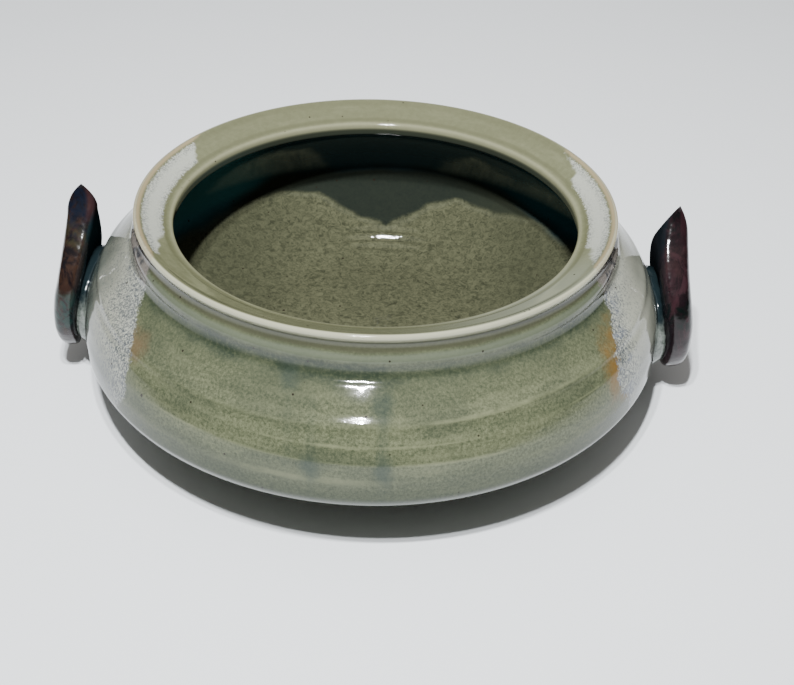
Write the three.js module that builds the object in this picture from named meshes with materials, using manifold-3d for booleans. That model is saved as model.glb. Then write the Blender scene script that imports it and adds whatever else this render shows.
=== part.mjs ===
// Two-handled serving bowl in stoneware: one thrown body, and on each side an upright
// leaf-shaped lug that a pad of clay joins to the belly.
// Millimetres, +Z up. The origin is the middle of the foot, level with what the bowl stands on.
// The lugs lie on the X axis.

import * as THREE from "three";
import { mergeVertices } from "three/addons/utils/BufferGeometryUtils.js";
import Module from "manifold-3d";

const wasm = await Module();
wasm.setup();

// Outside of the body
const lipRadius = 100;
const lipHeight = 90;
const lipRounding = 1.1;
const collarWaistInset = 1.3;
const collarWaistDrop = 4.5;
const collarFootRadius = 102;
const collarFootDrop = 11.8;
const grooveRadius = 101;
const grooveDrop = 14.8;
const shoulderInset = 10.6;
const shoulderDrop = 25.5;
const shoulderRise = 21;
const bellyRadius = 124.5;
const bellyHeight = 36;
const bellyFall = 10;
const underbellyRadius = 90;
const underbellyHeight = 10;
const undersideRadius = 88;

// How far the rim stands to +X of the belly's middle, because the pot was thrown by hand
const rimShift = 0.9;

// Trimmed foot
const footRadius = 74;
const footWidth = 7;
const footHeight = 4.5;
const footBevel = 0.8;
const footRecess = 5;
const footCornerRise = 0.5;

// Sloping band on top of the rim, and the mouth
const mouthRadius = 84.4;
const mouthDrop = 6.1;
const mouthRounding = 1.2;
const bandHollow = 0.5;
const bandLineMargin = 3.6;
const bandLineWidth = 2.4;
const bandLineDepth = 0.6;

// Inside
const innerLipDepth = 5.6;
const innerLipUndercut = 0.4;
const innerShoulderInset = 19;
const innerShoulderDrop = 16;
const innerShoulderFall = 14;
const innerBellyFall = 6;
const innerHeelInset = 30;
const innerHeelRise = 1;
const wall = 6.5;
const floorThickness = 7.5;
const floorRadius = 66;

// Lugs
const lugHeight = 78.4;
const lugBottom = 12.5;
const lugBreadth = 53;
const lugWidestShare = 0.42;
const lugShoulderPower = 1.7;
const lugReach = 16.7;
const lugSeatGap = 1.4;
const lugBottomRoundShare = 0.3;
const lugTipNarrowing = 2;
const lugTipBluntness = 2.3;
const lugHollow = 3;
const lugEdgePower = 3.2;
const lugTipPower = 1.4;

// The two lugs were modelled by hand, so they differ a little
const rightLugThickness = 16.2;
const rightLugTipInset = 7;
const rightLugLowBend = 26;
const rightLugHighBend = 76;
const rightLugPinch = 22;
const rightLugTipFlare = 1.3;
const leftLugThickness = 14.4;
const leftLugTipInset = 11.3;
const leftLugLowBend = 12;
const leftLugHighBend = 92;
const leftLugPinch = 12;
const leftLugTipFlare = 0;

// Pads of clay behind the lugs
const padBreadth = 48;
const padHeight = 44;
const padDepth = 32;
const padMiddleHeight = 35;
const padMiddleInset = 5;

// Gap between pieces that touch
const jointGap = 0.3;

// Fineness of the round forms
const turnSteps = 72;
const curveSteps = 9;
const bendSteps = 4;
const lugRingPoints = 32;
const lugLowerRings = 8;
const lugUpperRings = 16;
const padSteps = 28;

// Share of a rounded edge's radius that its middle lies in from each face
const cornerCut = 1 - Math.SQRT1_2;

const lugs = [
  {
    side: "right",
    facing: 1,
    thickness: rightLugThickness,
    tipInset: rightLugTipInset,
    lowBend: rightLugLowBend,
    highBend: rightLugHighBend,
    pinch: rightLugPinch,
    tipFlare: rightLugTipFlare,
  },
  {
    side: "left",
    facing: -1,
    thickness: leftLugThickness,
    tipInset: leftLugTipInset,
    lowBend: leftLugLowBend,
    highBend: leftLugHighBend,
    pinch: leftLugPinch,
    tipFlare: leftLugTipFlare,
  },
];

function point(radius, height) {
  return new THREE.Vector2(radius, height);
}

function curve(start, leave, arrive, end, steps = curveSteps) {
  return new THREE.CubicBezierCurve(start, leave, arrive, end).getPoints(steps);
}

// Curve between two points that is upright at both
function bend(start, end) {
  const half = (end.y - start.y) / 2;
  return curve(start, point(start.x, start.y + half), point(end.x, end.y - half), end, bendSteps);
}

// Underside of the body, from the axis to where the belly starts
function footOutline() {
  const inner = footRadius - footWidth;
  return [
    point(0, footRecess),
    point(inner - footBevel, footRecess),
    point(inner, footRecess - footBevel),
    point(inner, footBevel),
    point(inner + footBevel, 0),
    point(footRadius - footBevel, 0),
    point(footRadius, footBevel),
    point(footRadius, footHeight),
  ];
}

// Belly and shoulder, from the foot up to the groove under the collar, grown by a clearance
function bellyOutline(grow = 0) {
  const radius = bellyRadius + grow;
  const start = point(undersideRadius + grow, footHeight + footCornerRise);
  const under = point(underbellyRadius + grow, underbellyHeight);
  const widest = point(radius, bellyHeight);
  const shoulder = point(radius - shoulderInset, lipHeight - shoulderDrop);
  const groove = point(grooveRadius + grow, lipHeight - grooveDrop);
  const lower = curve(start, under, point(radius, bellyHeight - bellyFall), widest);
  const upper = curve(widest, point(radius, bellyHeight + shoulderRise), shoulder, groove);
  return [...lower, ...upper.slice(1)];
}

// Collar from the groove to the lip, with its flared foot and its waist
function collarOutline() {
  const groove = point(grooveRadius, lipHeight - grooveDrop);
  const foot = point(collarFootRadius, lipHeight - collarFootDrop);
  const waist = point(lipRadius - collarWaistInset, lipHeight - collarWaistDrop);
  const lip = point(lipRadius, lipHeight - lipRounding);
  return [...bend(groove, foot).slice(1), ...bend(foot, waist).slice(1), ...bend(waist, lip).slice(1)];
}

// Sloping band from the lip to the edge of the mouth, with a shallow line turned into it
function bandOutline() {
  const outer = lipRadius - lipRounding;
  const inner = mouthRadius + mouthRounding;
  const slope = mouthDrop / (outer - inner);
  const heightAt = (radius) => lipHeight - (outer - radius) * slope;
  const line = mouthRadius + bandLineMargin;
  const middle = (outer + line) / 2;
  const halfLine = bandLineWidth / 2;
  const lipCut = lipRounding * cornerCut;
  const mouthCut = mouthRounding * cornerCut;
  return [
    point(lipRadius - lipCut, lipHeight - lipCut),
    point(outer, lipHeight),
    point(middle, heightAt(middle) - bandHollow),
    point(line + halfLine, heightAt(line + halfLine)),
    point(line, heightAt(line) - bandLineDepth),
    point(line - halfLine, heightAt(line - halfLine)),
    point(inner, heightAt(inner)),
    point(mouthRadius + mouthCut, heightAt(inner) - mouthCut),
    point(mouthRadius, heightAt(inner) - mouthRounding),
  ];
}

// Inside of the body, from under the mouth down to the middle of the floor
function insideOutline() {
  const radius = bellyRadius - wall;
  const floorHeight = footRecess + floorThickness;
  const under = point(mouthRadius + innerLipUndercut, lipHeight - mouthDrop - innerLipDepth);
  const shoulder = point(radius - innerShoulderInset, lipHeight - innerShoulderDrop);
  const widest = point(radius, bellyHeight);
  const heel = point(radius - innerHeelInset, floorHeight + innerHeelRise);
  const floorEdge = point(floorRadius, floorHeight);
  const upper = curve(under, shoulder, point(radius, bellyHeight + innerShoulderFall), widest);
  const lower = curve(widest, point(radius, bellyHeight - innerBellyFall), heel, floorEdge);
  return [...upper, ...lower.slice(1), point(0, floorHeight)];
}

function turned(outline) {
  const geometry = new THREE.LatheGeometry(outline, turnSteps);
  return geometry.rotateX(Math.PI / 2);
}

function rimShiftAt(height) {
  return rimShift * THREE.MathUtils.smoothstep(height, bellyHeight, lipHeight);
}

// Moves what is above the belly's widest part over to the rim's middle
function shifted(geometry, facing = 1) {
  const place = geometry.attributes.position;
  for (let i = 0; i < place.count; i += 1) {
    place.setX(i, place.getX(i) + facing * rimShiftAt(place.getZ(i)));
  }
  return geometry;
}

function bodyGeometry() {
  const outside = [...footOutline(), ...bellyOutline(), ...collarOutline()];
  return shifted(turned([...outside, ...bandOutline(), ...insideOutline()]));
}

// Solid that fills the belly's outside plus a clearance, as a lug's own side sees it
function bellyCutter(grow, lug) {
  const outline = bellyOutline(grow);
  const top = outline[outline.length - 1].y;
  return shifted(turned([point(0, outline[0].y), ...outline, point(0, top)]), lug.facing);
}

// Radius of the belly at a height, from the lug's side
function bellyRadiusAt(height, lug) {
  const outline = bellyOutline();
  const upper = outline.findIndex((spot, i) => i > 0 && spot.y >= height);
  if (upper < 0) {
    return grooveRadius + lug.facing * rimShiftAt(height);
  }
  const low = outline[upper - 1];
  const high = outline[upper];
  const share = (height - low.y) / (high.y - low.y);
  return THREE.MathUtils.lerp(low.x, high.x, share) + lug.facing * rimShiftAt(height);
}

function solidOf(geometry) {
  const bare = geometry.clone();
  bare.deleteAttribute("normal");
  bare.deleteAttribute("uv");
  const merged = mergeVertices(bare, 1e-4);
  const mesh = new wasm.Mesh({
    numProp: 3,
    vertProperties: new Float32Array(merged.attributes.position.array),
    triVerts: new Uint32Array(merged.index.array),
  });
  return new wasm.Manifold(mesh);
}

function geometryOf(solid) {
  const mesh = solid.getMesh();
  const geometry = new THREE.BufferGeometry();
  geometry.setAttribute("position", new THREE.BufferAttribute(mesh.vertProperties, 3));
  geometry.setIndex(new THREE.BufferAttribute(mesh.triVerts, 1));
  geometry.computeVertexNormals();
  return geometry;
}

// Closed skin over rings of equal count, with a point at each end
function lofted(firstPoint, rings, lastPoint) {
  const count = rings[0].length;
  const vertices = [firstPoint, ...rings.flat(), lastPoint];
  const last = vertices.length - 1;
  const faces = [];
  for (let i = 0; i < count; i += 1) {
    const next = (i + 1) % count;
    faces.push(0, 1 + next, 1 + i);
    for (let ring = 0; ring < rings.length - 1; ring += 1) {
      const low = 1 + ring * count;
      const high = low + count;
      faces.push(low + i, low + next, high + next);
      faces.push(low + i, high + next, high + i);
    }
    const top = 1 + (rings.length - 1) * count;
    faces.push(top + i, top + next, last);
  }
  const geometry = new THREE.BufferGeometry().setFromPoints(vertices);
  geometry.setIndex(faces);
  geometry.computeVertexNormals();
  return geometry;
}

// Shares of the lug's height at which it has a ring, closer together towards both ends
function lugShares() {
  const shares = [];
  for (let i = 1; i <= lugLowerRings; i += 1) {
    shares.push(lugWidestShare * (1 - Math.cos((i / lugLowerRings) * Math.PI / 2)));
  }
  for (let i = 1; i < lugUpperRings; i += 1) {
    const up = Math.sin((i / lugUpperRings) * Math.PI / 2);
    shares.push(lugWidestShare + (1 - lugWidestShare) * up);
  }
  return shares;
}

function lugHalfBreadth(share) {
  if (share < lugWidestShare) {
    const down = 1 - share / lugWidestShare;
    return (lugBreadth / 2) * Math.sqrt(1 - down * down);
  }
  const up = (share - lugWidestShare) / (1 - lugWidestShare);
  return (lugBreadth / 2) * Math.cos((up * Math.PI) / 2) ** lugShoulderPower;
}

// How far a share of the height is into the pinched tip, from 0 to 1
function pinchShare(lug, share) {
  return Math.max(0, 1 - (lugHeight * (1 - share)) / lug.pinch);
}

function lugHalfThickness(lug, share) {
  if (share < lugBottomRoundShare) {
    const down = 1 - share / lugBottomRoundShare;
    return (lug.thickness / 2) * Math.sqrt(1 - down * down);
  }
  const up = (share - lugBottomRoundShare) / (1 - lugBottomRoundShare);
  const unpinched = (lug.thickness - lugTipNarrowing * up) / 2;
  return unpinched * (1 - pinchShare(lug, share) ** lugTipBluntness);
}

// Middle of the lug's thickness, drawn in above the belly in a gentle S
function lugMiddle(lug, share) {
  const height = lugBottom + lugHeight * share;
  const low = bellyRadius + lugReach - lug.thickness / 2;
  const inset = lug.tipInset * THREE.MathUtils.smoothstep(height, lug.lowBend, lug.highBend);
  return low - inset + lug.tipFlare * pinchShare(lug, share);
}

// Coordinate of a rounded rectangle's edge, where wave is the sine or cosine of the angle
function squared(wave, power) {
  return Math.sign(wave) * Math.abs(wave) ** (2 / power);
}

// Level outline of the lug, hollow towards the bowl and pressed against the belly
function lugRing(lug, share, grow) {
  const height = lugBottom + lugHeight * share;
  const middle = lugMiddle(lug, share);
  const breadth = lugHalfBreadth(share) + grow;
  const thickness = lugHalfThickness(lug, share) + grow;
  const hollow = (lugHollow * lugHalfBreadth(share)) / (lugBreadth / 2);
  const power = THREE.MathUtils.lerp(lugEdgePower, lugTipPower, pinchShare(lug, share));
  const seat = bellyRadiusAt(height, lug) + lugSeatGap - grow;
  const ring = [];
  for (let i = 0; i < lugRingPoints; i += 1) {
    const angle = (i / lugRingPoints) * Math.PI * 2;
    const across = squared(Math.cos(angle), power);
    const along = squared(Math.sin(angle), power);
    const dish = across < 0 ? -across * hollow * (1 - along * along) : 0;
    const y = along * breadth;
    const nearest = Math.sqrt(Math.max(0, seat * seat - y * y));
    const x = Math.max(middle + across * thickness + dish, nearest);
    ring.push(new THREE.Vector3(x, y, height));
  }
  return ring;
}

function lugGeometry(lug, grow = 0) {
  return lofted(
    new THREE.Vector3(lugMiddle(lug, 0), 0, lugBottom - grow),
    lugShares().map((share) => lugRing(lug, share, grow)),
    new THREE.Vector3(lugMiddle(lug, 1), 0, lugBottom + lugHeight + grow),
  );
}

// Pad of clay between the belly and the lug, fitted to both
function padGeometry(lug) {
  const blank = new THREE.SphereGeometry(0.5, padSteps, padSteps / 2);
  blank.rotateX(Math.PI / 2);
  blank.scale(padDepth, padBreadth, padHeight);
  blank.translate(bellyRadius - padMiddleInset, 0, padMiddleHeight);
  const fitted = solidOf(blank)
    .subtract(solidOf(bellyCutter(jointGap, lug)))
    .subtract(solidOf(lugGeometry(lug, jointGap)));
  return geometryOf(fitted);
}

function glaze(color, roughness) {
  return new THREE.MeshStandardMaterial({ color, roughness, metalness: 0 });
}

function named(name, geometry, material, facing = 1) {
  const mesh = new THREE.Mesh(geometry, material);
  mesh.name = name;
  mesh.rotation.z = facing > 0 ? 0 : Math.PI;
  return mesh;
}

const bowl = new THREE.Group();
bowl.add(named("bowl_body", bodyGeometry(), glaze("#7f8a6c", 0.25)));
for (const lug of lugs) {
  bowl.add(named(`${lug.side}_handle`, lugGeometry(lug), glaze("#2a2024", 0.2), lug.facing));
  bowl.add(named(`${lug.side}_handle_pad`, padGeometry(lug), glaze("#b9b9ad", 0.3), lug.facing));
}

export default bowl;
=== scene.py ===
"""Glazed stoneware serving bowl with two lug handles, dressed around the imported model."""

import math

import bmesh
import bpy
import numpy as np
from mathutils import Matrix, Vector


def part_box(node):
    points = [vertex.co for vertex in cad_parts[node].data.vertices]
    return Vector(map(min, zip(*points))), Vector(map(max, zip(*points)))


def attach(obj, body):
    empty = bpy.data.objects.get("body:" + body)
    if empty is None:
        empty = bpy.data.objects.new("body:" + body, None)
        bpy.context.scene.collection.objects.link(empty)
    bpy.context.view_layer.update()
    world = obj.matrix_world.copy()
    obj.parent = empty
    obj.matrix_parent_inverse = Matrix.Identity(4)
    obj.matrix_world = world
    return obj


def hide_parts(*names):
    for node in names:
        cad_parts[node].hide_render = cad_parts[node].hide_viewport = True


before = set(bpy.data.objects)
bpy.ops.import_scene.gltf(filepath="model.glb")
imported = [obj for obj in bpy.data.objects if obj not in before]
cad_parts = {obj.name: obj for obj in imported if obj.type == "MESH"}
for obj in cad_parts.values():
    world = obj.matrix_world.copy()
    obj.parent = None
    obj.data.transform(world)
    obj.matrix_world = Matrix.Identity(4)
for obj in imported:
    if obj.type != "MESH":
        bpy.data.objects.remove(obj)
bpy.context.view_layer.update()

# Camera, from the picture: a pinhole that sees the rim's circles where the photo has them
IMAGE_SIZE = (794, 685)
FOCAL_PIXELS = 1100
LIP_CENTRE_PIXEL = (377.1, 196.5)
CAMERA_ELEVATION = math.radians(28.55)
CAMERA_DISTANCE = 0.4633
CAMERA_ROLL = math.radians(1.27)
CAMERA_TURN = math.radians(1.6)
SENSOR_WIDTH = 36

# Floor
FLOOR_REACH = 6
FLOOR_SHADES = ((228, 231, 233), (230, 233, 235))

# Lamps, from the edges of the shadows: three small ones close together, over the camera
LAMP_PLACES = ((-0.009, -0.330, 0.575), (-0.055, -0.340, 0.575), (-0.027, -0.372, 0.575))
LAMP_SIZE = 0.018
LAMP_STRENGTH = 9.0
LAMP_COLOR = (0.98, 1.0, 1.02)

# Brightness of the room low down and overhead, and the sine of the angle it brightens from
ROOM_LOW = 0.0
ROOM_HIGH = 0.66
ROOM_START = 0.35
ROOM_COLOR = (1.0, 0.96, 0.92, 1)

# Body, in metres, as the frame has it
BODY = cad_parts["bowl_body"].data
LIP_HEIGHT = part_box("bowl_body")[1].z
BELLY_HEIGHT = max(BODY.vertices, key=lambda vertex: vertex.co.y).co.z
LIP_TOPS = [vertex.co.x for vertex in BODY.vertices if vertex.co.z > LIP_HEIGHT - 1e-5]
RIM_SHIFT = (min(LIP_TOPS) + max(LIP_TOPS)) / 2

# Fine body: how closely it is sampled, and how far its skin is drawn in so that no ridge stands
# outside the model
TURN_STEPS = 360
OUTLINE_STEP = 0.0008
SKIN_INSET = 0.00014

# What the marks for the glazes go by: how far under the top the mouth lies at most, the foot's
# top, the heights that have throwing ridges, and the bend, as 1/m, of a full edge and a full pool
MOUTH_DEPTH = 0.016
FOOT_TOP = 0.0052
RIDGED_HEIGHTS = (0.012, 0.0735)
EDGE_BEND = 260
POOL_BEND = 150

# Glaze that fills the line in the band and the groove: where it lies, and over how many points
# of the outline it smooths
FILLED_BAND_DROP = 0.0075
FILLED_BAND_RADII = (0.0862, 0.0965)
FILLED_GROOVE_HEIGHTS = (0.0732, 0.0785)
FILLED_GROOVE_RADIUS = 0.0995
FILL_WIDTH = 4

# Lugs: the height up to which their sections are rounded, and how often that is repeated
LUG_ROUND_HEIGHT = 0.078
LUG_ROUNDINGS = 5

# How far the pads' skin is grown, so that it closes the gap at the joints
PAD_GROWTH = 0.0005

# Throwing ridges, as height, width and depth
RIDGES = (
    (0.0290, 0.0030, 0.00010),
    (0.0430, 0.0026, 0.00012),
    (0.0500, 0.0012, 0.00010),
    (0.0575, 0.0010, 0.00020),
    (0.0622, 0.0012, 0.00098),
    (0.0716, 0.0012, 0.00006),
)


def material(name):
    made = bpy.data.materials.new(name)
    made.use_nodes = True
    made.node_tree.nodes.clear()
    return made


class Shader:
    """Short calls for building one material's nodes."""

    def __init__(self, name):
        self.material = material(name)
        self.tree = self.material.node_tree
        place = self.node("ShaderNodeTexCoord")
        self.place = place.outputs["Object"]
        split = self.node("ShaderNodeSeparateXYZ")
        self.link(self.place, split.inputs[0])
        self.x, self.y, self.z = split.outputs

    def node(self, kind, **settings):
        made = self.tree.nodes.new(kind)
        for key, value in settings.items():
            setattr(made, key, value)
        return made

    def link(self, source, target):
        self.tree.links.new(source, target)

    def put(self, value, socket):
        if isinstance(value, bpy.types.NodeSocket):
            self.link(value, socket)
        else:
            socket.default_value = value

    def math(self, operation, *values, clamp=False):
        made = self.node("ShaderNodeMath", operation=operation, use_clamp=clamp)
        for value, socket in zip(values, made.inputs):
            self.put(value, socket)
        return made.outputs[0]

    def times(self, first, *others):
        for other in others:
            first = self.math("MULTIPLY", first, other)
        return first

    def without(self, mask, cut):
        """The part of a mask that another one leaves free."""
        return self.times(mask, self.math("SUBTRACT", 1.0, cut))

    def step(self, value, low, high, start=0.0, end=1.0):
        """Smooth change from start to end while value goes from low to high."""
        made = self.node("ShaderNodeMapRange", interpolation_type="SMOOTHSTEP")
        for entry, socket in zip((value, low, high, start, end), made.inputs):
            self.put(entry, socket)
        return made.outputs[0]

    def between(self, value, low, high, soft):
        """1 where value lies from low to high, with soft ends."""
        rise = self.step(value, low - soft, low + soft)
        return self.times(rise, self.step(value, high + soft, high - soft))

    def moved(self, scale=(1, 1, 1), offset=(0, 0, 0)):
        made = self.node("ShaderNodeMapping")
        made.inputs["Location"].default_value = offset
        made.inputs["Scale"].default_value = scale
        self.link(self.place, made.inputs[0])
        return made.outputs[0]

    def noise(self, size, detail=3.0, rough=0.5, stretch=(1, 1, 1), warp=0.0, offset=0.0):
        """Noise from 0 to 1 whose blobs are about size metres across."""
        made = self.node("ShaderNodeTexNoise")
        self.link(self.moved(stretch, (offset, offset * 0.7, offset * 1.3)), made.inputs["Vector"])
        made.inputs["Scale"].default_value = 1 / size
        made.inputs["Detail"].default_value = detail
        made.inputs["Roughness"].default_value = rough
        made.inputs["Distortion"].default_value = warp
        return made.outputs[0]

    def sway(self, amount, *noise_values, **noise_settings):
        """Noise as a distance, from -amount to amount."""
        centred = self.math("SUBTRACT", self.noise(*noise_values, **noise_settings), 0.5)
        return self.times(centred, 2 * amount)

    def specks(self, size, share, radius, offset=0.0):
        """Round spots of up to a radius, about size metres apart; share of them are kept."""
        cells = self.node("ShaderNodeTexVoronoi")
        self.link(self.moved(offset=(offset, offset, offset)), cells.inputs["Vector"])
        cells.inputs["Scale"].default_value = 1 / size
        split = self.node("ShaderNodeSeparateColor")
        self.link(cells.outputs["Color"], split.inputs[0])
        kept = self.step(split.outputs[0], share, share * 0.9)
        most = radius / size
        reach = self.math("MULTIPLY_ADD", split.outputs[1], most / 2, most / 2)
        spot = self.step(cells.outputs["Distance"], reach, self.times(reach, 0.6))
        return self.times(kept, spot)

    def blob(self, centre, reach, ragged=0.0, size=0.006):
        """Soft spot, 1 in the middle and 0 from reach metres out along each axis."""
        scale = [1 / r for r in reach]
        offset = [-c / r for c, r in zip(centre, reach)]
        length = self.node("ShaderNodeVectorMath", operation="LENGTH")
        self.link(self.moved(scale, offset), length.inputs[0])
        fray = self.sway(ragged, size, 3, 0.6, offset=centre[0] * 90)
        far = self.math("ADD", length.outputs["Value"], fray)
        return self.step(far, 1.0, 0.15)

    def attribute(self, name):
        made = self.node("ShaderNodeAttribute", attribute_name=name)
        return made.outputs["Fac"]

    def mix(self, factor, first, second, blend="MIX"):
        made = self.node("ShaderNodeMix", data_type="RGBA", blend_type=blend)
        self.put(factor, made.inputs[0])
        for value, socket in ((first, made.inputs[6]), (second, made.inputs[7])):
            self.put(value, socket)
        return made.outputs[2]

    def bump(self, height, distance, strength=1.0, normal=None):
        made = self.node("ShaderNodeBump")
        made.inputs["Strength"].default_value = strength
        made.inputs["Distance"].default_value = distance
        self.put(height, made.inputs["Height"])
        if normal is not None:
            self.link(normal, made.inputs["Normal"])
        return made.outputs[0]

    def finish(self, color, roughness, normal=None, specular=0.5):
        shader = self.node("ShaderNodeBsdfPrincipled")
        self.put(color, shader.inputs["Base Color"])
        self.put(roughness, shader.inputs["Roughness"])
        self.put(specular, shader.inputs["Specular IOR Level"])
        if normal is not None:
            self.link(normal, shader.inputs["Normal"])
        output = self.node("ShaderNodeOutputMaterial")
        self.link(shader.outputs[0], output.inputs[0])
        return self.material


def rgb(red, green, blue):
    """Linear colour from the 0 to 255 values that a picture shows."""
    linear = []
    for value in (red, green, blue):
        share = value / 255
        linear.append(share / 12.92 if share <= 0.04045 else ((share + 0.055) / 1.055) ** 2.4)
    return (*linear, 1.0)


# Glaze colours, some of them carrying painted shade and painted light, as said where they stand
SAGE = rgb(94, 98, 75)
SAGE_DARK = rgb(60, 66, 49)
SAGE_LIGHT = rgb(116, 119, 92)
SAGE_GREY = rgb(46, 53, 44)
BAND = rgb(108, 110, 84)
BAND_DARK = rgb(84, 85, 62)
BAND_PALE = rgb(136, 140, 124)
CREAM = rgb(150, 149, 122)
LIP_PALE = rgb(176, 175, 150)
TAN = rgb(150, 136, 106)
# Painted shade for the collar's down-facing waist, and painted light for its outward-sloping foot
COLLAR_SHADE = rgb(66, 66, 52)
COLLAR_LIT = rgb(92, 98, 83)
POOL = rgb(36, 46, 37)
FROTH = rgb(147, 148, 134)
FROTH_PALE = rgb(166, 168, 157)
FROTH_GREY = rgb(72, 78, 72)
PAD_GREY = rgb(112, 118, 112)
# Painted shade for the pads' upper part, between lug and belly
PAD_SHADE = rgb(22, 32, 35)
DASH = rgb(74, 78, 82)
LILAC = rgb(98, 104, 124)
RUST = rgb(100, 80, 58)
OCHRE = rgb(112, 84, 42)
OLIVE = rgb(84, 85, 65)
OLIVE_DARK = rgb(46, 48, 36)
OLIVE_PALE = rgb(88, 90, 74)
WALL = rgb(28, 33, 29)
DEEP = rgb(26, 52, 64)
# Brighter copies of the teal: painted light for the shaded side walls, most for the left one
DEEP_SIDE_PAINTED_LIGHT = rgb(34, 74, 88)
DEEP_LEFT_PAINTED_LIGHT = rgb(58, 112, 124)
# Mauve-grey dipped glaze under the lip, darkened with painted shade, with darker blotches
UNDER_LIP_SHADE = rgb(104, 97, 92)
UNDER_LIP_SHADE_DARK = rgb(40, 40, 46)
SMUDGE = rgb(46, 57, 52)
SPECK = rgb(34, 28, 22)
CLAY = rgb(150, 122, 92)
CLAY_DARK = rgb(112, 86, 62)

# The second glaze was dipped over each end: the x where it starts at a height, and how that leans
LEFT_DIP = (-0.0838, 0.085, 0.20)
RIGHT_DIP = (0.0914, 0.074, 0.37)
BAND_DIP = (-0.0815, 0.0855)
BAND_DIP_RADII = (0.0885, 0.0965)

# Iron at the edge of the dipped glaze, as a middle and a reach along each axis
RIGHT_RUST = ((0.096, -0.085, 0.058), (0.04, 0.09, 0.018))
LEFT_RUST = ((-0.088, -0.075, 0.063), (0.04, 0.09, 0.0065))

# Grey-green smudges on the front
SMUDGES = ((-0.0172, -0.1217, 0.0479), (0.0084, -0.1227, 0.0482), (0.0076, -0.1104, 0.0670),
           (-0.0258, -0.0994, 0.0737))

# Inside, the wall's glaze ends at a pale tide line, and has run down further at the back: where
# the run ends, as a radius and an angle, how far down it goes and half its width at the top
TIDE_HEIGHT = 0.031
RUN_END = (0.0895, math.radians(88))
RUN_DROP = 0.012
RUN_HALF_WIDTH = 0.036

# Wrinkles at the end of the run: height, length, reach inwards and around, and slant, and then
# where the finest of them are and how far they reach along each axis
WRINKLE_HEIGHT = 0.00090
WRINKLE_LENGTH = 0.0056
WRINKLE_REACH = (0.0062, 0.014)
WRINKLE_SLANT = 25
FINE_WRINKLE_HEIGHT = 0.0185
FINE_WRINKLE_REACH = (0.017, 0.012, 0.025)

# Heights inside: where the teal starts, where the wall is dull, and the shade under the rim
TEAL_START = (0.041, 0.050)
DULL_HEIGHTS = (0.027, 0.046)
SHADE_START = (0.072, 0.080)

# Heights on the collar: the waist, which gets painted shade as it faces down, its soft end under the
# lip, the foot, which gets painted light as it slopes outward, and the pool
WAIST_START = (0.0822, 0.0832)
WAIST_END = (0.0874, 0.0858)
COLLAR_FOOT = (0.0796, 0.0820)
POOL_HEIGHTS = (0.0724, 0.0786)

# Heights between which the dipped glaze gets painted shade, under the lip
UNDER_LIP_SHADE_HEIGHTS = (0.0760, 0.0850)

# Radii on the band: the turned line, the darker outer part and the tan line. Then the soft starts
# of the lip's and the mouth's edge, as radii, and as drops below the top or heights
BAND_LINE = (0.0868, 0.0886)
BAND_OUTER = (0.0955, 0.0980)
TAN_LINE = (0.0972, 0.0988)
LIP_START = (0.0982, 0.0992)
LIP_DROPS = (0.0042, 0.0022)
MOUTH_START = (0.0866, 0.0852)
MOUTH_HEIGHTS = (0.080, 0.082)

# Roughness of the glazes
BODY_ROUGHNESS = 0.06
LUG_ROUGHNESS = 0.13
PAD_ROUGHNESS = 0.07
CLAY_ROUGHNESS = 0.66


def beyond_dip(s):
    """Distance outside the edge of the dipped glaze, in metres, negative on the plain side."""
    left_edge, left_height, left_lean = LEFT_DIP
    right_edge, right_height, right_lean = RIGHT_DIP
    fall_left = s.times(s.math("SUBTRACT", left_height, s.z), left_lean)
    fall_right = s.times(s.math("SUBTRACT", right_height, s.z), right_lean)
    left = s.math("SUBTRACT", s.math("SUBTRACT", left_edge, s.x), fall_left)
    right = s.math("SUBTRACT", s.math("SUBTRACT", s.x, right_edge), fall_right)
    return s.math("MAXIMUM", left, right)


def plain_glaze(s, ridge):
    """Sage glaze of the outside, mottled, with paler throwing ridges and grey low down."""
    mottle = s.noise(0.0011, 4, 0.8)
    streak = s.noise(0.0034, 3, 0.6, stretch=(0.10, 0.10, 1), offset=2.2)
    cloud = s.noise(0.030, 3, 0.5, stretch=(1, 1, 2.2))
    color = s.mix(s.step(mottle, 0.30, 0.62), SAGE_DARK, SAGE)
    color = s.mix(s.step(mottle, 0.54, 0.74, 0.0, 0.7), color, SAGE_LIGHT)
    color = s.mix(s.step(streak, 0.48, 0.70, 0.0, 0.28), color, SAGE_LIGHT)
    color = s.mix(s.step(streak, 0.46, 0.28, 0.0, 0.30), color, SAGE_DARK)
    color = s.mix(s.step(cloud, 0.45, 0.68, 0.0, 0.35), color, SAGE_GREY)
    broken = s.step(s.noise(0.012, 3, 0.6, stretch=(1, 1, 3), offset=6.1), 0.36, 0.60, 0.25, 0.75)
    color = s.mix(s.times(s.step(ridge, 0.72, 1.0), broken), color, SAGE_LIGHT)
    color = s.mix(s.step(s.z, 0.056, 0.024, 0.0, 0.85), color, SAGE_GREY)
    color = s.mix(s.step(s.z, 0.064, 0.075, 0.0, 0.40), color, SAGE_DARK)
    for place in SMUDGES:
        spot = s.blob(place, (0.0055, 0.02, 0.0085), 0.5)
        drip = s.blob((place[0], place[1], 0.052), (0.0030, 0.04, 0.026), 0.6)
        color = s.mix(s.times(s.math("MAXIMUM", spot, s.times(drip, 0.25)), 0.62), color, SMUDGE)
    return color


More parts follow.
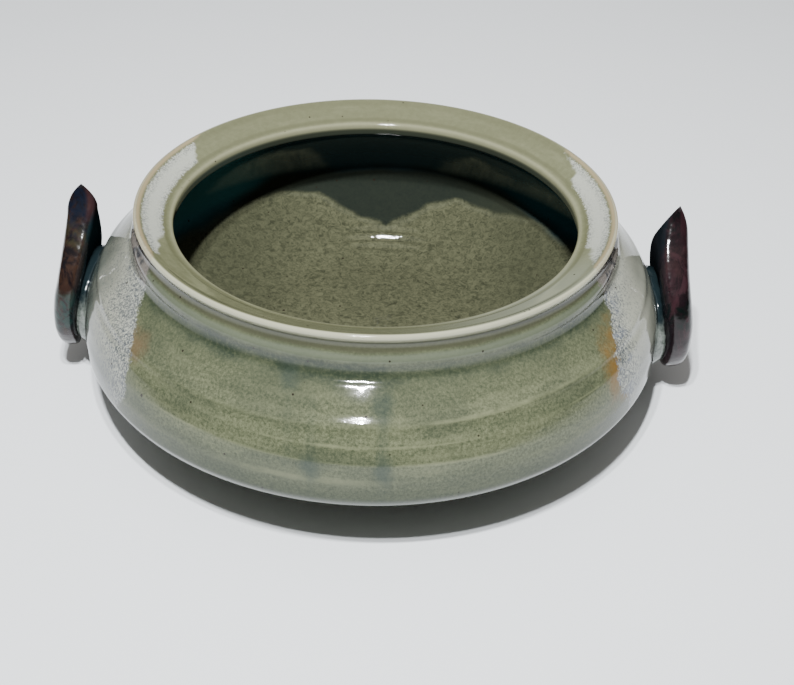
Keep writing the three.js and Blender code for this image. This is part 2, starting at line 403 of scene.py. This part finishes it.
def collar_glaze(s, color):
    """Painted shade in the waist of the collar, painted light on its foot, and glaze pooled under it."""
    wander = s.math("ADD", s.z, s.sway(0.0006, 0.016, 2, 0.5, offset=4.0))
    ragged = s.math("ADD", s.z, s.sway(0.0030, 0.012, 4, 0.65, offset=8.0))
    waist = s.times(s.step(wander, *WAIST_START), s.step(wander, *WAIST_END))
    # Painted shade on the waist and painted light on the foot, from how they face the lamps
    color = s.mix(s.times(waist, 0.72), color, COLLAR_SHADE)
    color = s.mix(s.times(s.between(wander, *COLLAR_FOOT, 0.0006), 0.75), color, COLLAR_LIT)
    patchy = s.step(s.noise(0.020, 3, 0.55, offset=3.3), 0.38, 0.62, 0.40, 1.0)
    grain = s.step(s.noise(0.0014, 3, 0.7, offset=1.1), 0.34, 0.60, 0.50, 1.0)
    pooled = s.times(s.between(ragged, *POOL_HEIGHTS, 0.0014), patchy, grain)
    return s.mix(s.times(pooled, 0.85), color, POOL)


def band_glaze(s, pool, radius):
    """Pale celadon of the sloping band, olive in the line that is turned into it."""
    grain = s.noise(0.0024, 4, 0.65, offset=5.5)
    ring = s.noise(0.0016, 3, 0.6, stretch=(0.10, 0.10, 1), offset=7.2)
    color = s.mix(s.step(grain, 0.30, 0.70, 0.0, 0.35), BAND, BAND_DARK)
    color = s.mix(s.step(ring, 0.45, 0.70, 0.0, 0.12), color, CREAM)
    near_right = s.times(s.step(s.x, 0.0, 0.06), s.step(s.y, -0.02, -0.06))
    color = s.mix(s.times(near_right, 0.7), color, BAND_PALE)
    color = s.mix(s.step(s.y, 0.03, 0.08, 0.0, 0.30), color, BAND_DARK)
    outer = s.between(radius, *BAND_OUTER, 0.0010)
    color = s.mix(s.times(outer, 0.35), color, BAND_DARK)
    line = s.between(radius, *BAND_LINE, 0.0006)
    return s.mix(s.times(s.math("MAXIMUM", line, pool), 0.55), color, BAND_DARK)


def inner_glaze(s):
    """Olive on the floor and the low wall, ending in a pale tide line, and teal above it, with painted
    light on the shaded sides and painted shade under the rim.
    """
    mottle = s.noise(0.0026, 5, 0.78, warp=1.1, offset=2.9)
    cloud = s.noise(0.035, 2, 0.5, offset=0.6)
    color = s.mix(s.step(mottle, 0.30, 0.66), OLIVE_DARK, OLIVE)
    color = s.mix(s.step(cloud, 0.40, 0.65, 0.0, 0.12), color, OLIVE_DARK)
    aside = s.math("ABSOLUTE", s.math("SUBTRACT", s.x, RUN_END[0] * math.cos(RUN_END[1])))
    narrowing = s.math("MULTIPLY_ADD", aside, -1 / RUN_HALF_WIDTH, 1.0, clamp=True)
    run = s.times(narrowing, s.step(s.y, 0.0, 0.01), RUN_DROP)
    level = s.math("ADD", s.z, s.sway(0.006, 0.040, 3, 0.5, offset=1.4))
    tide = s.math("ADD", level, run)
    pale = s.between(tide, TIDE_HEIGHT - 0.0006, TIDE_HEIGHT + 0.0004, 0.0009)
    color = s.mix(s.times(pale, 0.30), color, OLIVE_PALE)
    above = s.step(tide, TIDE_HEIGHT, TIDE_HEIGHT + 0.002, 0.0, 0.94)
    color = s.mix(above, color, WALL)
    # Painted light on the sides, most of all on the left, where the wall is in shade: there the teal is
    # a brighter copy and starts lower
    painted_light_sides = s.step(aside, 0.045, 0.085)
    color = s.mix(s.times(s.step(aside, 0.030, 0.075), 0.45), color, OLIVE_DARK)
    painted_light_left = s.step(s.x, -0.040, -0.070)
    deep = s.mix(painted_light_sides, DEEP, s.mix(painted_light_left, DEEP_SIDE_PAINTED_LIGHT, DEEP_LEFT_PAINTED_LIGHT))
    depth = s.math("MULTIPLY_ADD", painted_light_sides, 0.012, level)
    color = s.mix(s.step(depth, *TEAL_START), color, deep)
    # Painted shade under the rim
    return s.mix(s.step(s.z, *SHADE_START, 0.0, 0.9), color, OLIVE_DARK)


def froth_glaze(s, beyond):
    """Second glaze: pale cream, broken into fine blue-grey dashes near its edge."""
    dashes = s.noise(0.0008, 3, 0.7, stretch=(1, 1, 0.6), warp=1.2, offset=9.4)

    # The dashes reach further in on the left
    far = s.times(beyond, s.step(s.x, -0.02, 0.02, 1.0, 1.9))
    share = s.step(far, 0.0, 0.026, 0.52, 0.42)
    broken = s.step(dashes, s.math("SUBTRACT", share, 0.035), s.math("ADD", share, 0.035), 1.0, 0.0)
    low = s.math("MAXIMUM", s.step(beyond, 0.010, 0.030), s.step(s.z, 0.060, 0.040))
    base = s.mix(low, FROTH, FROTH_GREY)
    edge = s.mix(s.step(beyond, 0.016, 0.0, 0.0, 0.75), base, FROTH_PALE)
    return s.mix(s.times(broken, s.step(far, 0.038, 0.008, 0.08, 0.95)), edge, DASH)


def dipped_ends(s, color, outside, band, radius):
    """Lays the second glaze over each end, and says where it crosses the band."""
    beyond = beyond_dip(s)
    ragged = s.math("ADD", beyond, s.sway(0.007, 0.018, 2, 0.5, offset=0.8))
    frayed = s.math("ADD", ragged, s.sway(0.0035, 0.0016, 3, 0.8))
    froth = froth_glaze(s, ragged)

    # Iron shows where the dipped glaze runs out
    fringe = s.times(s.step(frayed, -0.0095, -0.0015), s.step(frayed, 0.0045, 0.0005), outside)
    right_rust = s.times(s.step(s.x, 0.0, 0.01), s.blob(*RIGHT_RUST, 0.7))
    left_rust = s.times(s.step(s.x, 0.0, -0.01), s.blob(*LEFT_RUST, 0.5))
    color = s.mix(s.times(fringe, right_rust, 0.8), color, OCHRE)
    color = s.mix(s.times(fringe, left_rust, 0.6), color, RUST)

    covered = s.times(s.step(frayed, -0.0006, 0.0010), outside)
    lilac = s.times(s.step(s.x, 0.0, 0.01), s.step(ragged, 0.010, 0.001),
                    s.step(s.noise(0.007, 2, 0.5, offset=1.9), 0.48, 0.62))
    froth = s.mix(s.times(lilac, 0.35), froth, LILAC)
    # Painted shade on the mauve-grey dipped glaze under the lip, with darker blotches
    under_lip_shade = s.between(s.z, *UNDER_LIP_SHADE_HEIGHTS, 0.0012)
    shaded = s.mix(s.step(s.noise(0.009, 3, 0.6, offset=3.0), 0.50, 0.62), UNDER_LIP_SHADE, UNDER_LIP_SHADE_DARK)
    froth = s.mix(s.times(under_lip_shade, 0.85), froth, shaded)
    color = s.mix(covered, color, froth)

    # Over the band it covers a strip that leaves both edges free
    low_end, high_end = BAND_DIP
    swayed = s.math("ADD", s.x, s.sway(0.006, 0.014, 3, 0.6, offset=2.7))
    left_end = s.step(swayed, low_end, low_end - 0.002)
    ends = s.math("MAXIMUM", left_end, s.step(swayed, high_end, high_end + 0.002))
    frayed_radius = s.math("ADD", radius, s.sway(0.0022, 0.0011, 3, 0.8, offset=4.6))
    low, high = BAND_DIP_RADII
    strip = s.times(s.between(frayed_radius, low, high, 0.0004), ends, band)
    comb = s.noise(0.0008, 3, 0.7, warp=1.0, offset=6.6)
    near_low = s.step(radius, low + 0.003, low)
    near_edge = s.math("MAXIMUM", near_low, s.step(radius, high - 0.0035, high - 0.001))
    dashed = s.times(s.step(comb, 0.52, 0.42), s.math("MULTIPLY_ADD", near_edge, 0.6, 0.12))
    return s.mix(strip, color, s.mix(dashed, FROTH_PALE, DASH)), ends


def body_glaze():
    """The whole finish of the bowl, told apart by the marks that its mesh carries."""
    s = Shader("body_glaze")
    inside, band, pool, edge, foot, ridge = (
        s.attribute(name) for name in ("inside", "band", "pool", "edge", "foot", "ridge"))
    outside = s.without(s.math("SUBTRACT", 1.0, inside), band)
    from_rim_middle = s.math("SUBTRACT", s.x, RIM_SHIFT)
    radius = s.math("SQRT", s.math("ADD", s.times(from_rim_middle, from_rim_middle), s.times(s.y, s.y)))

    color = collar_glaze(s, plain_glaze(s, ridge))
    color = s.mix(inside, color, inner_glaze(s))
    color = s.mix(band, color, band_glaze(s, pool, radius))
    color, ends = dipped_ends(s, color, outside, band, radius)

    # The glaze runs thin over the lip and the mouth's edge: cream, and tan on the dipped ends
    lip_low, lip_high = (LIP_HEIGHT - drop for drop in LIP_DROPS)
    lip = s.times(s.step(radius, *LIP_START), s.step(s.z, lip_low, lip_high))
    color = s.mix(s.times(lip, 0.85), color, s.mix(s.times(ends, 0.5), LIP_PALE, TAN))
    tan_line = s.times(s.between(radius, *TAN_LINE, 0.0005), ends, band)
    color = s.mix(s.times(tan_line, 0.8), color, TAN)
    mouth = s.times(s.step(edge, 0.25, 0.8), s.step(radius, *MOUTH_START), s.step(s.z, *MOUTH_HEIGHTS))
    color = s.mix(s.times(mouth, 0.4), color, CREAM)

    spots = s.math("MAXIMUM", s.specks(0.0070, 0.70, 0.0006), s.specks(0.013, 0.80, 0.0009, offset=0.31))
    color = s.mix(s.times(spots, 0.95), color, SPECK)

    # Bare clay on the foot
    clay = s.mix(s.noise(0.0025, 4, 0.7, offset=5.0), CLAY_DARK, CLAY)
    color = s.mix(foot, color, clay)
    rough = s.math("MULTIPLY_ADD", foot, CLAY_ROUGHNESS - BODY_ROUGHNESS, BODY_ROUGHNESS)
    dull = s.times(inside, s.between(s.z, *DULL_HEIGHTS, 0.003))
    gloss = s.without(s.step(s.z, 0.026, 0.056, 0.24, 0.5), dull)
    fine = s.bump(s.noise(0.0022, 3, 0.6), 0.00004, 0.5)
    wavy = s.bump(s.noise(0.013, 2, 0.4, offset=9.0), 0.0003, 0.4, fine)

    # Where the run ends inside, the glaze is wrinkled and sparkles
    run_end = (RUN_END[0] * math.cos(RUN_END[1]), RUN_END[0] * math.sin(RUN_END[1]), FINE_WRINKLE_HEIGHT)
    run = s.times(inside, s.blob(run_end, FINE_WRINKLE_REACH))
    wrinkled = s.bump(s.times(run, s.noise(0.0034, 3, 0.6, offset=4.4)), 0.0002, 1.0, wavy)
    return s.finish(color, rough, wrinkled, gloss)


# Heights where a lug's pinched facet and a pad's painted shade start
FACET_START = (0.074, 0.082)
PAD_SHADE_START = (0.039, 0.048)

# Handle glazes: what covers a lug, with "inner" the painted shade on its face towards the bowl, and then
# patches as (colour, height, half its height, share)
LEFT_GLAZE = {
    "seed": 2.0,
    "ground": (rgb(14, 12, 15), rgb(40, 28, 24)),
    "facet": rgb(46, 28, 28),
    "facet_low": 0.05,
    "facet_high": 0.25,
    # Painted shade for the face towards the bowl
    "inner": rgb(14, 34, 40),
    "patches": (
        (rgb(54, 46, 48), 0.022, 0.013, 0.70),
        (rgb(30, 60, 54), 0.041, 0.010, 0.55),
        (rgb(50, 35, 26), 0.061, 0.009, 0.60),
        (rgb(44, 43, 28), 0.071, 0.004, 0.55),
        (rgb(14, 20, 32), 0.083, 0.008, 0.85),
    ),
}
RIGHT_GLAZE = {
    "seed": 5.0,
    "ground": (rgb(22, 14, 17), rgb(44, 27, 31)),
    "facet": rgb(38, 21, 25),
    "facet_low": -0.05,
    "facet_high": -0.25,
    # Painted shade for the face towards the bowl
    "inner": rgb(22, 28, 32),
    "patches": (
        (rgb(52, 38, 42), 0.024, 0.012, 0.35),
        (rgb(8, 16, 14), 0.052, 0.006, 0.90),
        (rgb(46, 30, 30), 0.071, 0.004, 0.40),
        (rgb(10, 15, 15), 0.080, 0.006, 0.85),
    ),
}


def handle_glaze(side):
    """Dark glossy glaze that has run downwards, in patches of other colours, with painted shade on the
    face towards the bowl.
    """
    recipe = LEFT_GLAZE if side == "left" else RIGHT_GLAZE
    s = Shader(f"{side}_handle_glaze")
    seed = recipe["seed"]
    streak = s.noise(0.0075, 5, 0.65, stretch=(1, 1, 0.35), warp=0.8, offset=seed)
    fine = s.noise(0.0028, 5, 0.7, stretch=(1, 1, 0.5), warp=1.4, offset=seed + 8.8)
    dark, light = recipe["ground"]
    color = s.mix(s.step(streak, 0.42, 0.62), dark, light)
    color = s.mix(s.step(fine, 0.56, 0.70, 0.0, 0.5), color, light)
    for number, (tint, middle, half, share) in enumerate(recipe["patches"]):
        height = s.math("ADD", s.z, s.sway(0.010, 0.010, 4, 0.6, offset=seed + 3 * number))
        here = s.between(height, middle - half, middle + half, half * 0.4)
        grain = s.noise(0.005, 5, 0.7, stretch=(1, 1, 0.6), warp=1.0, offset=seed + number)
        color = s.mix(s.times(here, s.step(grain, 0.40, 0.58), share), color, tint)
    # Painted shade on the face towards the bowl, weaker on the near side
    inward = s.attribute("inward")
    inner = s.times(s.step(inward, 0.40, 0.85), s.step(s.y, -0.016, -0.004, 0.35, 1.0))
    color = s.mix(s.times(inner, 0.85), color, recipe["inner"])
    facet = s.times(s.step(s.z, *FACET_START), s.step(inward, recipe["facet_low"], recipe["facet_high"]))
    color = s.mix(s.times(facet, 0.8), color, recipe["facet"])
    wavy = s.bump(s.noise(0.012, 3, 0.5, offset=seed), 0.0011, 0.8)
    gloss = s.step(inner, 0.0, 0.7, 0.34, 0.0)
    return s.finish(color, LUG_ROUGHNESS, s.bump(fine, 0.00005, 0.5, wavy), specular=gloss)


def pad_glaze():
    """Pale frothy glaze on the pads, with painted shade on their upper part, in the gap between lug and
    belly.
    """
    s = Shader("pad_glaze")
    froth = s.noise(0.0020, 4, 0.7, warp=0.8)
    color = s.mix(s.step(froth, 0.36, 0.62), PAD_GREY, FROTH_GREY)
    height = s.math("ADD", s.z, s.sway(0.006, 0.007, 3, 0.6))
    # Painted shade on the upper part of the pad
    color = s.mix(s.step(height, *PAD_SHADE_START), color, PAD_SHADE)
    return s.finish(color, PAD_ROUGHNESS, s.bump(froth, 0.00006, 0.5))


def rim_shift_at(height):
    """How far a level of the body stands to +X, as a number or an array of heights."""
    share = np.clip((height - BELLY_HEIGHT) / (LIP_HEIGHT - BELLY_HEIGHT), 0, 1)
    return RIM_SHIFT * share * share * (3 - 2 * share)


def turned_outline():
    """The body's turned outline, as its points (radius, height) in order from axis to axis."""
    places = {}
    for vertex in BODY.vertices:
        if abs(vertex.co.y) < 1e-6 and vertex.co.x > -1e-6:
            places[vertex.index] = (round(vertex.co.x, 6), round(vertex.co.z, 6))
    beside = {}
    for edge in BODY.edges:
        first, second = edge.vertices
        if first in places and second in places and places[first] != places[second]:
            beside.setdefault(places[first], set()).add(places[second])
            beside.setdefault(places[second], set()).add(places[first])
    here = min((p for p in beside if p[0] < 1e-6), key=lambda p: p[1])
    ordered = [here]
    while True:
        onward = [p for p in beside[here] if p not in ordered]
        if not onward:
            break
        here = onward[0]
        ordered.append(here)
    line = np.array(ordered)
    line[:, 0] -= rim_shift_at(line[:, 1])
    return line


def resampled(points, spacing):
    """Points at even spacing on a smooth curve through the given ones."""
    length = np.concatenate([[0], np.cumsum(np.linalg.norm(np.diff(points, axis=0), axis=1))])
    count = int(length[-1] / spacing)
    at = np.linspace(0, length[-1], count)
    result = np.empty((count, 2))
    for axis in (0, 1):
        value = points[:, axis]
        slope = np.diff(value) / np.diff(length)
        tangent = np.zeros(len(value))
        tangent[1:-1] = np.where(slope[1:] * slope[:-1] > 0,
                                 2 * slope[1:] * slope[:-1] / (slope[1:] + slope[:-1] + 1e-12), 0)
        tangent[0], tangent[-1] = slope[0], slope[-1]
        index = np.clip(np.searchsorted(length, at) - 1, 0, len(slope) - 1)
        span = length[index + 1] - length[index]
        t = (at - length[index]) / span
        result[:, axis] = (
            (2 * t**3 - 3 * t**2 + 1) * value[index]
            + (t**3 - 2 * t**2 + t) * span * tangent[index]
            + (-2 * t**3 + 3 * t**2) * value[index + 1]
            + (t**3 - t**2) * span * tangent[index + 1]
        )
    result[0, 0] = result[-1, 0] = 0
    return result


def smoothed(values, width):
    """Values averaged over their neighbours, with a bell of the given width."""
    reach = np.arange(-3 * width, 3 * width + 1)
    weights = np.exp(-0.5 * (reach / width) ** 2)
    padded = np.pad(values, 3 * width, mode="edge")
    return np.convolve(padded, weights / weights.sum(), mode="valid")


def run_ripples(radius, height, turn):
    """Wrinkles in the glaze at the back, where a run from the wall ends on the floor."""
    along = radius - RUN_END[0]
    across = (turn - RUN_END[1]) * radius
    reach_along, reach_across = WRINKLE_REACH
    fade = np.exp(-0.5 * (along / reach_along) ** 2 - 0.5 * (across / reach_across) ** 2)
    wave = np.sin(2 * math.pi * along / WRINKLE_LENGTH + WRINKLE_SLANT * across)
    return np.where(height < TIDE_HEIGHT, WRINKLE_HEIGHT * wave * fade, 0)


def softened(line):
    """The outline with glaze in the line that is turned into the band and in the groove."""
    soft = line.copy()
    radius, height = line.T
    inner, outer = FILLED_BAND_RADII
    low, high = FILLED_GROOVE_HEIGHTS
    on_band = (height > LIP_HEIGHT - FILLED_BAND_DROP) & (radius > inner) & (radius < outer)
    in_groove = (height > low) & (height < high) & (radius > FILLED_GROOVE_RADIUS)
    share = smoothed((on_band | in_groove).astype(float), 2)
    for axis in (0, 1):
        soft[:, axis] += share * (smoothed(line[:, axis], FILL_WIDTH) - line[:, axis])
    return soft


def ridge_relief(height, turn):
    """Height of the throwing ridges over the wall, and how far up a crest each point is."""
    relief = np.zeros((len(height), len(turn)))
    crest = np.zeros_like(relief)
    for number, (middle, width, depth) in enumerate(RIDGES):
        wander = 0.0009 * np.sin(turn + 2.1 * number) + 0.0004 * np.sin(3 * turn + number)
        strength = 0.85 + 0.15 * np.sin(2 * turn + 1.7 * number) * np.sin(5 * turn + number)
        bell = np.exp(-0.5 * ((height[:, None] - middle - wander) / width) ** 2)
        relief += depth * strength * bell
        crest = np.maximum(crest, bell * strength)
    return relief, crest


def bowl_body():
    """The turned body with its ridges and wrinkles, and marks for the glazes."""
    line = softened(resampled(turned_outline(), OUTLINE_STEP))
    count = len(line)
    heading = np.unwrap(np.arctan2(*np.gradient(line, axis=0).T[::-1]))
    bend = smoothed(np.gradient(heading) / OUTLINE_STEP, 2)
    top = int(np.argmax(line[:, 1]))
    near_mouth = line[top:, 1] > LIP_HEIGHT - MOUTH_DEPTH
    mouth = top + int(np.argmin(np.where(near_mouth, line[top:, 0], 9)))
    along = np.arange(count)
    inside = (along > mouth).astype(float)
    band = ((along > top) & (along <= mouth)).astype(float)
    foot = ((line[:, 1] < FOOT_TOP) & (along < count // 2)).astype(float)
    edge = np.clip(smoothed(bend, 1) / EDGE_BEND, 0, 1) * (1 - foot)
    pool = np.clip(-smoothed(bend, 2) / POOL_BEND, 0, 1) * (1 - foot)
    low, high = RIDGED_HEIGHTS
    outer = (along < top) & (line[:, 1] > low) & (line[:, 1] < high)
    fade = smoothed(outer.astype(float), 6)[1:-1][:, None]

    turn = np.linspace(0, 2 * math.pi, TURN_STEPS, endpoint=False)
    radius, height = line[1:-1, 0][:, None], line[1:-1, 1][:, None]
    relief, crest = ridge_relief(line[1:-1, 1], turn)
    r = radius + fade * (relief - SKIN_INSET)
    x = r * np.cos(turn) + rim_shift_at(height)
    z = height + inside[1:-1][:, None] * run_ripples(r, height, turn)
    vertices = np.stack([x, r * np.sin(turn), z], -1).reshape(-1, 3)
    start, end = (0, 0, line[0, 1]), (0, 0, line[-1, 1])
    vertices = [start, *map(tuple, vertices), end]
    mesh = bpy.data.meshes.new("bowl")
    mesh.from_pydata(vertices, [], turned_faces(count - 2))
    mesh.polygons.foreach_set("use_smooth", [True] * len(mesh.polygons))
    whole = {"inside": inside, "band": band, "pool": pool, "edge": edge, "foot": foot}
    for name, values in whole.items():
        spread = np.repeat(values[1:-1], TURN_STEPS)
        set_attribute(mesh, name, np.concatenate([[values[0]], spread, [values[-1]]]))
    set_attribute(mesh, "ridge", np.concatenate([[0], (crest * fade).reshape(-1), [0]]))
    piece = bpy.data.objects.new("bowl", mesh)
    bpy.context.scene.collection.objects.link(piece)
    return piece


def turned_faces(rings):
    """Faces of a turned body: a point on the axis, rings of TURN_STEPS points, and a last point."""
    faces = []
    last = 1 + (rings - 1) * TURN_STEPS
    for j in range(TURN_STEPS):
        k = (j + 1) % TURN_STEPS
        faces.append((0, 1 + k, 1 + j))
        for i in range(rings - 1):
            low, high = 1 + i * TURN_STEPS, 1 + (i + 1) * TURN_STEPS
            faces.append((low + j, low + k, high + k, high + j))
        faces.append((last + j, last + k, last + TURN_STEPS))
    return faces


def set_attribute(mesh, name, values):
    made = mesh.attributes.new(name, "FLOAT", "POINT")
    made.data.foreach_set("value", np.asarray(values, np.float32))


def refined(node, name, levels, grow=0.0):
    """A finer, rounder copy of a node's mesh, grown by a distance."""
    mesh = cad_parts[node].data.copy()
    piece = bpy.data.objects.new(name, mesh)
    bpy.context.scene.collection.objects.link(piece)
    work = bmesh.new()
    work.from_mesh(mesh)
    bmesh.ops.remove_doubles(work, verts=work.verts, dist=1e-6)
    bmesh.ops.join_triangles(work, faces=work.faces, angle_face_threshold=0.7,
                             angle_shape_threshold=0.9)
    work.normal_update()
    moves = [(vertex, vertex.normal * grow) for vertex in work.verts]
    for vertex, move in moves:
        vertex.co += move
    work.to_mesh(mesh)
    work.free()
    mesh.polygons.foreach_set("use_smooth", [True] * len(mesh.polygons))
    rounder = piece.modifiers.new("finer", "SUBSURF")
    rounder.levels = rounder.render_levels = levels
    return piece


def rounded_across(piece):
    """Rounds a lug's section across its thickness, up to where the tip is pinched."""
    work = bmesh.new()
    work.from_mesh(piece.data)
    body = [vertex for vertex in work.verts if vertex.co.z < LUG_ROUND_HEIGHT]
    for _ in range(LUG_ROUNDINGS):
        bmesh.ops.smooth_vert(work, verts=body, factor=0.5, use_axis_x=True)
    work.to_mesh(piece.data)
    work.free()


def mark_inward(piece):
    """Stores how far each point of a lug's skin faces the bowl, from -1 to 1."""
    mesh = piece.data
    facing = math.copysign(1, mesh.vertices[0].co.x)
    set_attribute(mesh, "inward", [-facing * vertex.normal.x for vertex in mesh.vertices])


def dress(piece, finish, node):
    """Gives a piece its finish, and has it stand for a node."""
    piece.data.materials.clear()
    piece.data.materials.append(finish)
    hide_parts(node)
    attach(piece, "root")


def add_camera():
    back = Vector((0, -math.cos(CAMERA_ELEVATION), math.sin(CAMERA_ELEVATION)))
    right = Vector((1, 0, 0))
    basis = Matrix((right, back.cross(right), back)).transposed()
    ray = Vector(((LIP_CENTRE_PIXEL[0] - IMAGE_SIZE[0] / 2) / FOCAL_PIXELS,
                  -(LIP_CENTRE_PIXEL[1] - IMAGE_SIZE[1] / 2) / FOCAL_PIXELS, -1))
    aim = ray.rotation_difference(Vector((0, 0, -1))).to_matrix()
    spin = Matrix.Rotation(CAMERA_TURN, 3, "Z")
    turned = spin @ basis @ Matrix.Rotation(CAMERA_ROLL, 3, "Z") @ aim
    place = spin @ (back * CAMERA_DISTANCE) + Vector((RIM_SHIFT, 0, LIP_HEIGHT))
    data = bpy.data.cameras.new("camera")
    data.sensor_width = SENSOR_WIDTH
    data.lens = SENSOR_WIDTH * FOCAL_PIXELS / IMAGE_SIZE[0]
    data.clip_start = 0.01
    camera = bpy.data.objects.new("camera", data)
    camera.matrix_world = Matrix.Translation(place) @ turned.to_4x4()
    bpy.context.scene.collection.objects.link(camera)
    bpy.context.scene.camera = camera


def add_floor():
    mesh = bpy.data.meshes.new("floor")
    corners = [(FLOOR_REACH * i, FLOOR_REACH * j, 0) for i, j in ((-1, -1), (1, -1), (1, 1), (-1, 1))]
    mesh.from_pydata(corners, [], [(0, 1, 2, 3)])
    floor = bpy.data.objects.new("floor", mesh)
    bpy.context.scene.collection.objects.link(floor)
    s = Shader("floor_paint")
    shade = s.mix(s.noise(0.05, 2, 0.5), *(rgb(*shade) for shade in FLOOR_SHADES))
    mesh.materials.append(s.finish(shade, 0.6, specular=0.2))


def add_lamp(place):
    """Small lamp that lights near and far things alike, as one further off would."""
    lamp = bpy.data.lights.new("lamp", "AREA")
    lamp.shape = "DISK"
    lamp.size = LAMP_SIZE
    lamp.energy = 1.0
    lamp.color = LAMP_COLOR
    lamp.use_nodes = True
    tree = lamp.node_tree
    falloff = tree.nodes.new("ShaderNodeLightFalloff")
    falloff.inputs["Strength"].default_value = LAMP_STRENGTH
    emission = next(n for n in tree.nodes if n.type == "EMISSION")
    tree.links.new(falloff.outputs["Constant"], emission.inputs["Strength"])
    holder = bpy.data.objects.new("lamp", lamp)
    holder.location = place
    holder.rotation_euler = (-holder.location).to_track_quat("-Z", "Y").to_euler()
    bpy.context.scene.collection.objects.link(holder)


def add_world():
    """Room that is brighter overhead than at the horizon."""
    world = bpy.data.worlds.new("room")
    world.use_nodes = True
    tree = world.node_tree
    place = tree.nodes.new("ShaderNodeTexCoord")
    split = tree.nodes.new("ShaderNodeSeparateXYZ")
    rise = tree.nodes.new("ShaderNodeMapRange")
    rise.inputs["From Min"].default_value = ROOM_START
    rise.inputs["To Min"].default_value = ROOM_LOW
    rise.inputs["To Max"].default_value = ROOM_HIGH
    background = tree.nodes["Background"]
    background.inputs[0].default_value = ROOM_COLOR
    tree.links.new(place.outputs["Generated"], split.inputs[0])
    tree.links.new(split.outputs[2], rise.inputs["Value"])
    tree.links.new(rise.outputs[0], background.inputs[1])
    bpy.context.scene.world = world


add_camera()
add_floor()
add_world()
for lamp_place in LAMP_PLACES:
    add_lamp(lamp_place)

dress(bowl_body(), body_glaze(), "bowl_body")
PAD_FINISH = pad_glaze()
for side in ("left", "right"):
    lug = refined(f"{side}_handle", f"{side}_lug", 2)
    rounded_across(lug)
    mark_inward(lug)
    dress(lug, handle_glaze(side), f"{side}_handle")
    pad = refined(f"{side}_handle_pad", f"{side}_pad", 1, grow=PAD_GROWTH)
    dress(pad, PAD_FINISH, f"{side}_handle_pad")
